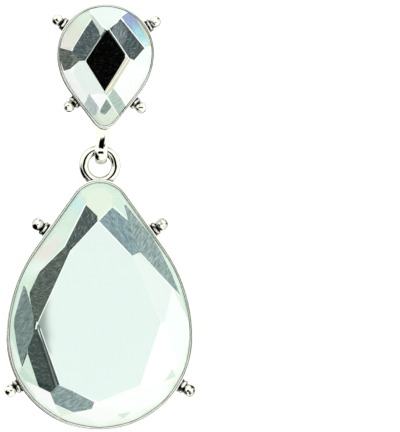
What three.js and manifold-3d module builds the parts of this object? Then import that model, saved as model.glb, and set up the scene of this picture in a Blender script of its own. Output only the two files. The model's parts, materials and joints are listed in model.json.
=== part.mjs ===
// Teardrop drop earring: a small faceted stud with a large faceted drop swinging from its loop.
// Millimetres, +Z up. The jewel faces -Y, and the ear post leaves the origin along +Y.
import * as THREE from "three";
import { mergeVertices } from "three/addons/utils/BufferGeometryUtils.js";
import Module from "manifold-3d";

const wasm = await Module();
wasm.setup();

// Outline of the large drop: a round bulge, two side arcs, two straight flanks and a round tip.
const DROP_OUTLINE = {
  bulgeRadius: 9.35,
  sideRadius: 15.5,
  sideAngle: 35.5,
  tipRadius: 3.2,
};

// Outline of the small stud, the same family of shape, worn with its tip down.
const STUD_OUTLINE = {
  bulgeRadius: 4.9,
  sideRadius: 6.5,
  sideAngle: 38,
  tipRadius: 1.45,
};

// Cast cup of each jewel, measured forward from its flat back.
const DROP_CUP = {
  plate: 0.7,
  height: 3.3,
  rim: 0.35,
  rimRound: 0.14,
  backInset: 0.9,
  backBevel: 1.1,
};
const STUD_CUP = {
  plate: 0.6,
  height: 2.8,
  rim: 0.3,
  rimRound: 0.12,
  backInset: 0.45,
  backBevel: 0.7,
};

// Cut stones: how deep the girdle's foot lies in the rim, its height, the crown and the pavilion.
const DROP_STONE = { girdleSink: 0.75, girdle: 0.6, crown: 1.95, pavilionTilt: 42 };
const STUD_STONE = { girdleSink: 0.6, girdle: 0.45, crown: 1.45, pavilionTilt: 45 };
const STONE_GAP = 0.1;

// Crown cuts. A table corner is a share of the outline's half width and of its reach along y.
// Each edge of the table starts an inner facet. Each corner has a kite, whose plane passes a rise
// above the corner, and outer facets pass a rise above the girdle.
const DROP_CROWN = {
  tableCorners: [
    { x: -0.01, y: 0.732 },
    { x: -0.305, y: 0.566 },
    { x: -0.652, y: 0.09 },
    { x: -0.458, y: -0.506 },
    { x: -0.01, y: -0.69 },
    { x: 0.43, y: -0.515 },
    { x: 0.65, y: 0.09 },
    { x: 0.335, y: 0.53 },
  ],
  innerTilt: 17,
  kites: [
    { corner: 0, azimuth: 90, tilt: 23, rise: 0.05 },
    { corner: 1, azimuth: 144.7, tilt: 34, rise: 0.18 },
    { corner: 2, azimuth: 177.4, tilt: 34, rise: 0.15 },
    { corner: 3, azimuth: 228, tilt: 34, rise: 0.15 },
    { corner: 4, azimuth: 270, tilt: 33, rise: 0.1 },
    { corner: 5, azimuth: -48, tilt: 34, rise: 0.15 },
    { corner: 6, azimuth: 2.6, tilt: 34, rise: 0.15 },
    { corner: 7, azimuth: 35.3, tilt: 34, rise: 0.18 },
  ],
  outer: [
    { azimuths: [35.5, 144.5], tilt: 56, rise: 0 },
    { azimuths: [62, 118, 90], tilt: 46, rise: 0 },
    { azimuths: [14, 166, -10, 190, -32, 212, -56, 236, -79, 259], tilt: 52, rise: 0 },
  ],
};
const STUD_CROWN = {
  tableCorners: [
    { x: 0.006, y: 0.516 },
    { x: -0.42, y: 0.043 },
    { x: -0.022, y: -0.47 },
    { x: 0.415, y: 0.11 },
  ],
  innerTilt: 14,
  kites: [
    { corner: 0, azimuth: 90, tilt: 22, rise: -0.03 },
    { corner: 1, azimuth: 182.5, tilt: 15, rise: -0.03 },
    { corner: 2, azimuth: 274.5, tilt: 23, rise: -0.03 },
    { corner: 3, azimuth: -4, tilt: 16.5, rise: -0.03 },
  ],
  outer: [
    { azimuths: [32], tilt: 47, rise: 0 },
    { azimuths: [149.5], tilt: 43, rise: 0 },
    { azimuths: [-36.5], tilt: 33.5, rise: 0 },
    { azimuths: [215], tilt: 38, rise: 0 },
    { azimuths: [5.5], tilt: 29, rise: 0.36 },
    { azimuths: [176.5], tilt: 36, rise: 0.25 },
    { azimuths: [266.5], tilt: 31.5, rise: 0.17 },
    { azimuths: [52, 128], tilt: 36, rise: 0 },
    { azimuths: [90], tilt: 30, rise: 0 },
  ],
};

// Ball prongs around each cup: azimuth of the outward axis, and the turned profile's sizes.
const DROP_PRONG = {
  azimuths: [-31, 35.5, 144.5, 211],
  flankShare: 0.3,
  ballRadius: 0.64,
  ballReach: 1.1,
  baseRadius: 0.72,
  baseReach: 0.5,
  grooveDepth: 0.12,
  neckRadius: 0.42,
};
const STUD_PRONG = {
  azimuths: [-33, 38, 142, 213],
  flankShare: 0.28,
  ballRadius: 0.6,
  ballReach: 0.95,
  baseRadius: 0.68,
  baseReach: 0.42,
  grooveDepth: 0.11,
  neckRadius: 0.4,
};
const COLLAR_GROOVE = { start: 0.3, deepest: 0.5, end: 0.7 };
const PRONG_LEAN = 14;
const PRONG_ROOT = 0.5;

// Ring cast on the drop's tip, and the loop cast under the stud that it hangs in.
const RING = { wire: 1, hole: 2.2, sunk: 0.23, behindRim: 1.2 };
const LOOP = {
  topWidth: 1.55,
  footWidth: 1.3,
  legThickness: 0.55,
  footThickness: 0.9,
  inTip: 1.1,
  slant: 0.31,
  drop: 2.71,
};
const RING_SIDE_CLEARANCE = 0.16;
const RING_REST_CLEARANCE = 0.16;
const RING_SHIFT = -0.13;
const STUD_LEAN = 1;

// Ear post: a soldering disc and a plain pin with a keeper groove near its rounded end.
const POST = {
  diameter: 0.85,
  length: 11,
  disc: 3.2,
  discThickness: 0.5,
  grooveFromEnd: 2,
  grooveWidth: 0.8,
  grooveDepth: 0.12,
  endRound: 0.13,
  gap: 0.1,
};

// Smoothness of the curves.
const BULGE_STEPS = 24;
const SIDE_STEPS = 4;
const TIP_STEPS = 8;
const BALL_STEPS = 6;
const TURNED_SIDES = 12;
const WIRE_SIDES = 12;
const RING_STEPS = 36;
const LOOP_STEPS = 10;
const SHARPEST_TIP = 0.1;
const SLIVER = 0.001;
const WELD = 0.0001;

const radians = THREE.MathUtils.degToRad;
const direction = (azimuth) => new THREE.Vector2(
  Math.cos(radians(azimuth)), Math.sin(radians(azimuth)));

const silver = () => new THREE.MeshStandardMaterial({
  color: "#cfcfca", roughness: 0.12, metalness: 1,
});
const mintGlass = () => new THREE.MeshStandardMaterial({
  color: "#dceee6", roughness: 0.04, metalness: 0.1,
});

// A teardrop in the xy plane, drawn in by an inset: its bulge about the origin, its tip at +y.
function teardrop({ bulgeRadius, sideRadius, sideAngle, tipRadius }, inset = 0) {
  const angle = radians(sideAngle);
  const bulge = bulgeRadius - inset;
  const side = sideRadius - inset;
  const tip = Math.max(tipRadius - inset, SHARPEST_TIP);
  const sideX = bulge - side;
  const tipY = (sideX * Math.cos(angle) + side - tip) / Math.sin(angle);
  return {
    reach: tipY + tip,
    flankStart: new THREE.Vector2(sideX + side * Math.cos(angle), side * Math.sin(angle)),
    flankEnd: new THREE.Vector2(tip * Math.cos(angle), tipY + tip * Math.sin(angle)),
    arcs: [
      { x: sideX, y: 0, radius: side, from: 0, to: angle, steps: SIDE_STEPS },
      { x: 0, y: tipY, radius: tip, from: angle, to: Math.PI - angle, steps: TIP_STEPS },
      { x: -sideX, y: 0, radius: side, from: Math.PI - angle, to: Math.PI, steps: SIDE_STEPS },
      { x: 0, y: 0, radius: bulge, from: Math.PI, to: 2 * Math.PI, steps: BULGE_STEPS },
    ],
  };
}

// The teardrop's points at one height. Arcs share their ends, so each leaves out its last point
// unless a straight flank follows it.
function teardropRing(outline, inset, height) {
  return teardrop(outline, inset).arcs.flatMap((arc, place) => {
    const points = place < 2 ? arc.steps + 1 : arc.steps;
    return Array.from({ length: points }, (_, i) => {
      const angle = THREE.MathUtils.lerp(arc.from, arc.to, i / arc.steps);
      return new THREE.Vector3(
        arc.x + arc.radius * Math.cos(angle), arc.y + arc.radius * Math.sin(angle), height);
    });
  });
}

// A closed body through rings of equally many points, capped flat at both ends.
function loft(rings) {
  const count = rings[0].length;
  const positions = rings.flat().flatMap((point) => point.toArray());
  const index = [];
  for (let r = 0; r + 1 < rings.length; r += 1) {
    for (let i = 0; i < count; i += 1) {
      const next = (i + 1) % count;
      const low = r * count;
      const high = low + count;
      index.push(low + i, low + next, high + next, low + i, high + next, high + i);
    }
  }
  const last = (rings.length - 1) * count;
  for (let i = 1; i + 1 < count; i += 1) {
    index.push(0, i + 1, i, last, last + i, last + i + 1);
  }
  const geometry = new THREE.BufferGeometry();
  geometry.setAttribute("position", new THREE.Float32BufferAttribute(positions, 3));
  geometry.setIndex(index);
  return geometry;
}

// A three.js geometry as a solid that can be joined and cut.
function solid(geometry) {
  const bare = geometry.clone();
  bare.deleteAttribute("normal");
  bare.deleteAttribute("uv");
  const merged = mergeVertices(bare, WELD);
  return new wasm.Manifold(new wasm.Mesh({
    numProp: 3,
    vertProperties: new Float32Array(merged.attributes.position.array),
    triVerts: new Uint32Array(merged.index.array),
  }));
}

// A joined or cut solid as a three.js geometry again, without the slivers that cuts leave.
function toGeometry(made) {
  const mesh = made.simplify(SLIVER).getMesh();
  const geometry = new THREE.BufferGeometry();
  geometry.setAttribute("position", new THREE.Float32BufferAttribute(mesh.vertProperties, 3));
  geometry.setIndex(new THREE.Uint32BufferAttribute(mesh.triVerts, 1));
  geometry.computeVertexNormals();
  return geometry;
}

// The cup's outside: a flat back, a bevel, a wall and a rounded rim.
function cupBody(outline, cup) {
  const edge = cup.height - cup.rimRound;
  return solid(loft([
    teardropRing(outline, cup.backInset, 0),
    teardropRing(outline, cup.backInset / 4, cup.backBevel),
    teardropRing(outline, 0, (cup.backBevel + edge) / 2),
    teardropRing(outline, 0, edge),
    teardropRing(outline, cup.rimRound, cup.height),
  ]));
}

// How far the pavilion draws in between the girdle's foot and the plate.
function pavilionInset(cup, stone) {
  return (cup.height - stone.girdleSink - cup.plate) / Math.tan(radians(stone.pavilionTilt));
}

// The hollow that the stone sits in, open at the front.
function seat(outline, cup, stone) {
  const edge = cup.height - cup.rimRound;
  return solid(loft([
    teardropRing(outline, cup.rim + pavilionInset(cup, stone), cup.plate),
    teardropRing(outline, cup.rim, cup.height - stone.girdleSink),
    teardropRing(outline, cup.rim, edge),
    teardropRing(outline, cup.rim - cup.rimRound / 2, cup.height + cup.rimRound),
  ]));
}

// Where a prong leaves the wall: on a straight flank, or on the bulge in its own direction.
function prongFoot(outline, azimuth, flankShare) {
  const { flankStart, flankEnd } = teardrop(outline);
  const outward = direction(azimuth);
  if (outward.y < 0) return outward.multiplyScalar(outline.bulgeRadius);
  const foot = flankStart.clone().lerp(flankEnd, flankShare);
  foot.x *= Math.sign(outward.x);
  return foot;
}

// One turned prong: a grooved collar, a neck and a ball, along +y from the wall.
function prongGeometry(prong) {
  const { ballRadius, ballReach, baseRadius, baseReach, grooveDepth, neckRadius } = prong;
  const neckAngle = Math.asin(neckRadius / ballRadius);
  const profile = [
    new THREE.Vector2(0, -PRONG_ROOT),
    new THREE.Vector2(baseRadius, -PRONG_ROOT),
    new THREE.Vector2(baseRadius, baseReach * COLLAR_GROOVE.start),
    new THREE.Vector2(baseRadius - grooveDepth, baseReach * COLLAR_GROOVE.deepest),
    new THREE.Vector2(baseRadius, baseReach * COLLAR_GROOVE.end),
    new THREE.Vector2(baseRadius, baseReach),
    new THREE.Vector2(neckRadius, baseReach),
  ];
  for (let i = 0; i <= BALL_STEPS; i += 1) {
    const angle = THREE.MathUtils.lerp(neckAngle, Math.PI, i / BALL_STEPS);
    profile.push(new THREE.Vector2(
      i < BALL_STEPS ? ballRadius * Math.sin(angle) : 0,
      ballReach - ballRadius * Math.cos(angle)));
  }
  return new THREE.LatheGeometry(profile, TURNED_SIDES);
}

// The four prongs of a cup, leaning a little forward as they leave it.
function prongs(outline, cup, prong) {
  return prong.azimuths.map((azimuth) => {
    const foot = prongFoot(outline, azimuth, prong.flankShare);
    const geometry = prongGeometry(prong);
    geometry.rotateX(radians(PRONG_LEAN));
    geometry.rotateZ(radians(azimuth) - Math.PI / 2);
    geometry.translate(foot.x, foot.y, cup.height - cup.rimRound - prong.baseRadius);
    return solid(geometry);
  });
}

// The ring's middle above the bulge, and its plane in front of the drop's back.
const ringRadius = (RING.hole + RING.wire) / 2;
const ringHeight = teardrop(DROP_OUTLINE).reach - RING.sunk + ringRadius;
const ringPlane = DROP_CUP.height - RING.behindRim;

function ring() {
  const geometry = new THREE.TorusGeometry(ringRadius, RING.wire / 2, WIRE_SIDES, RING_STEPS);
  geometry.translate(0, ringHeight, ringPlane);
  return solid(geometry);
}

// The loop's slot: half its width, its place between the cup's faces, and how low it ends.
const slotRadius = RING.wire / 2 + RING_SIDE_CLEARANCE;
const loopMiddle = STUD_CUP.height / 2;
const slotEnd = teardrop(STUD_OUTLINE).reach + LOOP.drop;

// One oval section of the loop, across x, turned about the slot's end by an angle.
function loopSection(angle, along, width, aside) {
  const thickness = THREE.MathUtils.lerp(LOOP.legThickness, LOOP.footThickness, Math.sin(angle));
  const middle = slotRadius + thickness / 2;
  const points = [];
  for (let i = 0; i < WIRE_SIDES; i += 1) {
    const turn = 2 * Math.PI * i / WIRE_SIDES;
    const out = middle + thickness / 2 * Math.sin(turn);
    points.push(new THREE.Vector3(
      aside - width / 2 * Math.cos(turn),
      along + out * Math.sin(angle),
      loopMiddle + out * Math.cos(angle)));
  }
  return points;
}

// The loop hangs from the stud's tip: down in front, round under the ring and up behind.
function loop() {
  const top = teardrop(STUD_OUTLINE).reach - LOOP.inTip;
  const bend = slotEnd - slotRadius;
  const foot = Array.from({ length: LOOP_STEPS + 1 }, (_, i) => loopSection(
    Math.PI * i / LOOP_STEPS, bend, LOOP.footWidth, LOOP.slant));
  return solid(loft([
    loopSection(0, top, LOOP.topWidth, 0), ...foot, loopSection(Math.PI, top, LOOP.topWidth, 0),
  ]));
}

// Support of the stone's outline in a direction: the distance of the line that touches it.
function support(outline, inset, azimuth) {
  const { x, y } = direction(azimuth);
  return Math.max(...teardropRing(outline, inset, 0).map((point) => x * point.x + y * point.y));
}

// A crown plane that leans back by its tilt, at a distance from the middle at one height.
function crownPlane(azimuth, tilt, distance, height) {
  const lean = radians(tilt);
  const normal = new THREE.Vector3(
    Math.sin(lean) * Math.cos(radians(azimuth)),
    Math.sin(lean) * Math.sin(radians(azimuth)),
    Math.cos(lean));
  return { normal, offset: Math.sin(lean) * distance + Math.cos(lean) * height };
}

// Every plane of a crown: along the table's edges, at its corners, and on the girdle.
function crownPlanes(outline, inset, crown, girdleTop, tableHeight) {
  const { reach } = teardrop(outline);
  const corners = crown.tableCorners.map(({ x, y }) => new THREE.Vector2(
    x * outline.bulgeRadius, y * (y > 0 ? reach : outline.bulgeRadius)));
  const inner = corners.map((corner, i) => {
    const next = corners[(i + 1) % corners.length];
    const outward = new THREE.Vector2(next.y - corner.y, corner.x - next.x).normalize();
    const azimuth = THREE.MathUtils.radToDeg(outward.angle());
    return crownPlane(azimuth, crown.innerTilt, outward.dot(corner), tableHeight);
  });
  const kites = crown.kites.map(({ corner, azimuth, tilt, rise }) => crownPlane(
    azimuth, tilt, corners[corner].dot(direction(azimuth)), tableHeight + rise));
  const outer = crown.outer.flatMap(({ azimuths, tilt, rise }) => azimuths.map((azimuth) =>
    crownPlane(azimuth, tilt, support(outline, inset, azimuth), girdleTop + rise)));
  return [...inner, ...kites, ...outer];
}

// A cut stone: a drawn-in pavilion, a girdle, and a crown cut plane by plane under its table.
function stone(outline, cup, cut, crown) {
  const inset = cup.rim + STONE_GAP;
  const girdleFoot = cup.height - cut.girdleSink;
  const girdleTop = girdleFoot + cut.girdle;
  const tableHeight = girdleTop + cut.crown;
  const blank = solid(loft([
    teardropRing(outline, inset + pavilionInset(cup, cut), cup.plate + STONE_GAP),
    teardropRing(outline, inset, girdleFoot + STONE_GAP),
    teardropRing(outline, inset, tableHeight),
  ]));
  return crownPlanes(outline, inset, crown, girdleTop, tableHeight).reduce(
    (made, { normal, offset }) => made.trimByPlane(normal.clone().negate().toArray(), -offset),
    blank);
}

// A cast setting: the cup with its prongs and hanger, hollowed for the stone.
function setting(outline, cup, prong, cut, hanger) {
  const cast = [...prongs(outline, cup, prong), hanger].reduce(
    (made, piece) => made.add(piece), cupBody(outline, cup));
  return cast.subtract(seat(outline, cup, cut));
}

// The ear post, turned about y, its disc just behind the stud's back.
function earPost() {
  const radius = POST.diameter / 2;
  const grooveTop = POST.length - POST.grooveFromEnd;
  const grooveFoot = grooveTop - POST.grooveWidth;
  return new THREE.LatheGeometry([
    new THREE.Vector2(0, POST.gap),
    new THREE.Vector2(POST.disc / 2, POST.gap),
    new THREE.Vector2(POST.disc / 2, POST.gap + POST.discThickness / 2),
    new THREE.Vector2(POST.disc / 2 - POST.discThickness / 2, POST.gap + POST.discThickness),
    new THREE.Vector2(radius, POST.gap + POST.discThickness),
    new THREE.Vector2(radius, grooveFoot),
    new THREE.Vector2(radius - POST.grooveDepth, grooveFoot + POST.grooveDepth),
    new THREE.Vector2(radius - POST.grooveDepth, grooveTop - POST.grooveDepth),
    new THREE.Vector2(radius, grooveTop),
    new THREE.Vector2(radius, POST.length - radius),
    new THREE.Vector2(radius - POST.endRound, POST.length - POST.endRound),
    new THREE.Vector2(0, POST.length),
  ], TURNED_SIDES);
}

function named(name, geometry, material) {
  const mesh = new THREE.Mesh(geometry, material);
  mesh.name = name;
  return mesh;
}

// Stud: modelled lying on its back with its tip at +y, then stood up with the tip down.
function stud() {
  const group = new THREE.Group();
  group.add(named("top_setting",
    toGeometry(setting(STUD_OUTLINE, STUD_CUP, STUD_PRONG, STUD_STONE, loop())), silver()));
  group.add(named("top_stone",
    toGeometry(stone(STUD_OUTLINE, STUD_CUP, STUD_STONE, STUD_CROWN)), mintGlass()));
  group.rotation.set(Math.PI / 2, 0, Math.PI - radians(STUD_LEAN));
  return group;
}

// Drop: hangs from the foot of the loop, its ring's top wire resting in the slot.
function drop() {
  const wireMiddle = slotEnd - RING_REST_CLEARANCE - RING.wire / 2;
  const hanging = ringHeight + ringRadius;
  const lean = radians(STUD_LEAN);
  const group = new THREE.Group();
  group.add(named("drop_setting",
    toGeometry(setting(DROP_OUTLINE, DROP_CUP, DROP_PRONG, DROP_STONE, ring())), silver()));
  group.add(named("drop_stone",
    toGeometry(stone(DROP_OUTLINE, DROP_CUP, DROP_STONE, DROP_CROWN)), mintGlass()));
  group.rotation.set(Math.PI / 2, 0, 0);
  group.position.set(
    RING_SHIFT - LOOP.slant * Math.cos(lean) - wireMiddle * Math.sin(lean),
    ringPlane - loopMiddle,
    LOOP.slant * Math.sin(lean) - wireMiddle * Math.cos(lean) - hanging);
  return group;
}

const earring = new THREE.Group();
earring.add(stud(), named("ear_post", earPost(), silver()), drop());

export default earring;
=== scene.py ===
"""Teardrop drop earring: a faceted stud, and a larger faceted drop that swings from its loop.

Every jewel is modelled lying on its back in its own plane, with its tip at +y and its front at
+z, and is then stood up and placed in the frame. Sizes are in metres.
"""
import json
import logging
import math
from dataclasses import dataclass
from enum import Enum
from typing import Iterable, Sequence

import bmesh
import bpy
from mathutils import Matrix, Vector


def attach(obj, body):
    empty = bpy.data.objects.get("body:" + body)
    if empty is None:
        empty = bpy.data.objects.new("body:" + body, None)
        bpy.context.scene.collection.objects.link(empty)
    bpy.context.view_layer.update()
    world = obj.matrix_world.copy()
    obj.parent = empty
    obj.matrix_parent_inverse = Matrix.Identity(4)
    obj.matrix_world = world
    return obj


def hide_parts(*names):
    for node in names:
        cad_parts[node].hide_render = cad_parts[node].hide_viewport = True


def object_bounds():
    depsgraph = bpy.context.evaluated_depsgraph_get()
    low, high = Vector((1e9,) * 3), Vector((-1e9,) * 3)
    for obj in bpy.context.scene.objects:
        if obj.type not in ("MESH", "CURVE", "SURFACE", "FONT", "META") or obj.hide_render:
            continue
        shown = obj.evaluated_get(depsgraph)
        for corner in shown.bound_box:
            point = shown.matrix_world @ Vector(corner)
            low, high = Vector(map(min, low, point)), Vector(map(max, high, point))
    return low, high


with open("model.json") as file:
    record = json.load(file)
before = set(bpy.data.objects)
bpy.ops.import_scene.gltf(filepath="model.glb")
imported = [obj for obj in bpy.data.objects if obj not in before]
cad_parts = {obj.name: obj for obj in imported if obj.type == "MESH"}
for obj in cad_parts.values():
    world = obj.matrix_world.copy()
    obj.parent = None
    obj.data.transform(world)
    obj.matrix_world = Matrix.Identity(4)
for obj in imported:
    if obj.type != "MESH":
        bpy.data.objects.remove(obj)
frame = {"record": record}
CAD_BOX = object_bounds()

log = logging.getLogger("earring")

Pair = tuple[float, float]
Triple = tuple[float, float, float]

MM = 0.001
# A corner of a stone that lies this near to a cut, in metres, counts as on it.
ON_CUT = 1e-8


class Body(Enum):
    """The rigid bodies that the pieces ride on."""

    STUD = "stud"
    DROP = "drop"


class Slot(Enum):
    """Names of material slots for the pieces; they are kept with each piece but not applied to it."""

    METAL = "plated_metal"
    TOP_GLASS = "top_glass"
    DROP_GLASS = "drop_glass"


@dataclass(frozen=True)
class FoilTone:
    """What one facet shows: its colour with a painted reflection in it, how brushed its foil looks,
    and the brush's direction.
    """

    colour: Triple
    grain: float = 0.0
    brush: float = 0.0


class Tone(Enum):
    """The tones of the facets, in linear colour, with the brush's direction in degrees.

    Each tone paints the reflection that a facet shows: the dark tones paint dark reflections,
    SHADOW paints shade, and the pale tones paint bright reflected light.
    """

    JET = FoilTone((0.001, 0.0015, 0.001), 0.07, 30)
    PITCH = FoilTone((0.012, 0.025, 0.02), 0.3, 20)
    SLATE = FoilTone((0.038, 0.066, 0.066), 0.95, 52)
    SLATE_LEFT = FoilTone((0.042, 0.072, 0.073), 0.9, -30)
    SPARK = FoilTone((0.13, 0.175, 0.178), 1.0, 60)
    GRAPHITE = FoilTone((0.056, 0.084, 0.065), 0.85, 10)
    FLINT = FoilTone((0.102, 0.125, 0.105), 0.85, 10)
    CHARCOAL = FoilTone((0.044, 0.074, 0.065), 0.85, 80)
    IRON = FoilTone((0.022, 0.047, 0.037), 0.6, 8)
    BAND = FoilTone((0.13, 0.18, 0.16), 0.4, -70)
    STEEL = FoilTone((0.195, 0.295, 0.31), 0.75, -50)
    ZINC = FoilTone((0.245, 0.34, 0.32), 0.75, 60)
    PEWTER = FoilTone((0.174, 0.24, 0.226), 0.65, 35)
    TIN = FoilTone((0.23, 0.324, 0.31), 0.7, 25)
    TEAL = FoilTone((0.22, 0.31, 0.26), 0.5, 20)
    MIST = FoilTone((0.44, 0.56, 0.49), 0.3, 20)
    LEAD = FoilTone((0.49, 0.57, 0.55), 0.3, 60)
    ASH = FoilTone((0.52, 0.62, 0.55))
    MINT = FoilTone((0.61, 0.775, 0.65))
    LEAF = FoilTone((0.67, 0.81, 0.695))
    LIME = FoilTone((0.72, 0.815, 0.68))
    PEARL = FoilTone((0.68, 0.73, 0.62))
    BLUSH = FoilTone((0.74, 0.715, 0.66))
    MILK = FoilTone((0.76, 0.85, 0.8))
    CREAM = FoilTone((0.67, 0.67, 0.5))
    FERN = FoilTone((0.76, 0.88, 0.77))
    DEW = FoilTone((0.87, 0.95, 0.86))
    FROST = FoilTone((0.86, 0.93, 0.885))
    AQUA = FoilTone((0.54, 0.77, 0.75))
    SNOW = FoilTone((0.93, 0.96, 0.935))
    LAVENDER = FoilTone((0.29, 0.34, 0.55), 0.35, -50)
    SKY = FoilTone((0.19, 0.43, 0.6), 0.25, -50)
    CYAN = FoilTone((0.37, 0.66, 0.67), 0.1, -50)
    TABLE = FoilTone((0.775, 0.89, 0.84))
    SHADOW = FoilTone((0.3, 0.38, 0.34))


def colour_of(*rgb: float) -> tuple[float, float, float, float]:
    """A full colour with alpha from three channels."""
    return (*rgb, 1.0)


def heading(azimuth: float) -> Vector:
    """The level direction at an azimuth in degrees."""
    return Vector((math.cos(math.radians(azimuth)), math.sin(math.radians(azimuth)), 0.0))


def smooth(mesh: bpy.types.Mesh, sharp_angle: float) -> None:
    """Shades a mesh smooth but keeps edges sharp past an angle.

    Args:
        mesh: The mesh to shade.
        sharp_angle: The angle in degrees from which an edge stays sharp.
    """
    mesh.polygons.foreach_set("use_smooth", [True] * len(mesh.polygons))
    mesh.set_sharp_from_angle(angle=math.radians(sharp_angle))


def add_object(name: str, mesh: bpy.types.Mesh) -> bpy.types.Object:
    """Links a new object at the origin.

    Args:
        name: The object's name.
        mesh: Its mesh, with its place already in it.

    Returns:
        The linked object.
    """
    made = bpy.data.objects.new(name, mesh)
    bpy.context.scene.collection.objects.link(made)
    return made


def add_piece(mesh: bpy.types.Mesh, node: str, body: Body) -> bpy.types.Object:
    """Args:
        mesh: The piece's mesh, with its place already in it.
        node: The CAD node that the piece stands for.
        body: The body that it rides on.

    Returns:
        The piece.
    """
    piece = add_object(mesh.name, mesh)
    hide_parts(node)
    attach(piece, body.value)
    return piece


def mesh_of(name: str, body: bmesh.types.BMesh,
            *materials: bpy.types.Material) -> bpy.types.Mesh:
    """Turns a body into a mesh and frees the body.

    Args:
        name: The mesh's name.
        body: The body.
        *materials: The materials that the mesh gets.

    Returns:
        The mesh.
    """
    made = bpy.data.meshes.new(name)
    body.to_mesh(made)
    body.free()
    for material in materials:
        made.materials.append(material)
    return made


def lofted(rings: Sequence[Sequence[Vector]]) -> bmesh.types.BMesh:
    """Closes a body through rings of equally many points.

    Args:
        rings: The rings from one end of the body to the other.

    Returns:
        The body, its normals outwards.
    """
    made = bmesh.new()
    rows = [[made.verts.new(point) for point in ring] for ring in rings]
    for low, high in zip(rows, rows[1:]):
        for i in range(len(low)):
            j = (i + 1) % len(low)
            made.faces.new((low[i], low[j], high[j], high[i]))
    made.faces.new(reversed(rows[0]))
    made.faces.new(rows[-1])
    bmesh.ops.recalc_face_normals(made, faces=made.faces)
    return made


def turned(profile: Sequence[Pair], sides: int) -> bmesh.types.BMesh:
    """Turns a profile about the y axis.

    Args:
        profile: Radius and height of each point, from one pole to the other.
        sides: How many sides the turned body has.

    Returns:
        The closed body.
    """
    rings = [
        [
            Vector((radius * math.cos(turn), height, radius * math.sin(turn)))
            for turn in (2 * math.pi * i / sides for i in range(sides))
        ]
        for radius, height in profile[1:-1]
    ]
    made = lofted(rings)
    for ring, (_, pole) in ((rings[0], profile[0]), (rings[-1], profile[-1])):
        cap = min(
            (face for face in made.faces if len(face.verts) == sides),
            key=lambda face: abs(face.calc_center_median().y - ring[0].y),
        )
        poked = bmesh.ops.poke(made, faces=[cap])
        poked["verts"][0].co.y = pole
    return made


@dataclass(frozen=True)
class Teardrop:
    """A teardrop outline: round bulge, side arcs, straight flanks and a round tip."""

    bulge: float
    side: float
    side_angle: float
    tip: float
    least_tip: float = 0.1 * MM
    bulge_steps: int = 96
    side_steps: int = 14
    flank_steps: int = 6
    tip_steps: int = 28

    def arcs(self, inset: float = 0.0) -> list[tuple[float, float, float, float, float, int]]:
        """The outline's arcs.

        Args:
            inset: How far the outline is drawn in.

        Returns:
            Centre x and y, radius, first and last angle and steps of each arc.
        """
        angle = math.radians(self.side_angle)
        bulge, side = self.bulge - inset, self.side - inset
        tip = max(self.tip - inset, self.least_tip)
        side_x = bulge - side
        tip_y = (side_x * math.cos(angle) + side - tip) / math.sin(angle)
        return [
            (side_x, 0.0, side, 0.0, angle, self.side_steps),
            (0.0, tip_y, tip, angle, math.pi - angle, self.tip_steps),
            (-side_x, 0.0, side, math.pi - angle, math.pi, self.side_steps),
            (0.0, 0.0, bulge, math.pi, 2 * math.pi, self.bulge_steps),
        ]

    def reach(self) -> float:
        """Distance from the bulge's centre to the tip."""
        _, tip_y, tip, *_ = self.arcs()[1]
        return tip_y + tip

    def ring(self, inset: float, height: float) -> list[Vector]:
        """The outline's points at one height.

        Args:
            inset: How far the outline is drawn in.
            height: The height of every point.

        Returns:
            The points, anticlockwise, as many for every inset.
        """
        points: list[Vector] = []
        for place, (x, y, radius, first, last, steps) in enumerate(self.arcs(inset)):
            for i in range(steps + 1 if place < 2 else steps):
                angle = first + (last - first) * i / steps
                point = Vector((x + radius * math.cos(angle), y + radius * math.sin(angle), height))
                if i == 0 and place in (1, 2):
                    start = points[-1].copy()
                    points += [start.lerp(point, k / self.flank_steps)
                               for k in range(1, self.flank_steps)]
                points.append(point)
        return points

    def support(self, inset: float, azimuth: float) -> float:
        """Distance of the line that touches the drawn-in outline in a direction."""
        return max(heading(azimuth).dot(point) for point in self.ring(inset, 0.0))

    def foot(self, azimuth: float, flank_share: float) -> Vector:
        """Where a prong leaves the wall.

        Args:
            azimuth: The prong's direction in degrees.
            flank_share: Its place along the flank, where its direction points up.

        Returns:
            The point on the outline.
        """
        away = heading(azimuth)
        if away.y < 0:
            return away * self.bulge
        (side_x, _, side, _, flank, _), (_, tip_y, tip, *_), *_ = self.arcs()
        low = Vector((side_x + side * math.cos(flank), side * math.sin(flank), 0.0))
        high = Vector((tip * math.cos(flank), tip_y + tip * math.sin(flank), 0.0))
        point = low.lerp(high, flank_share)
        point.x = math.copysign(point.x, away.x)
        return point


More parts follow.
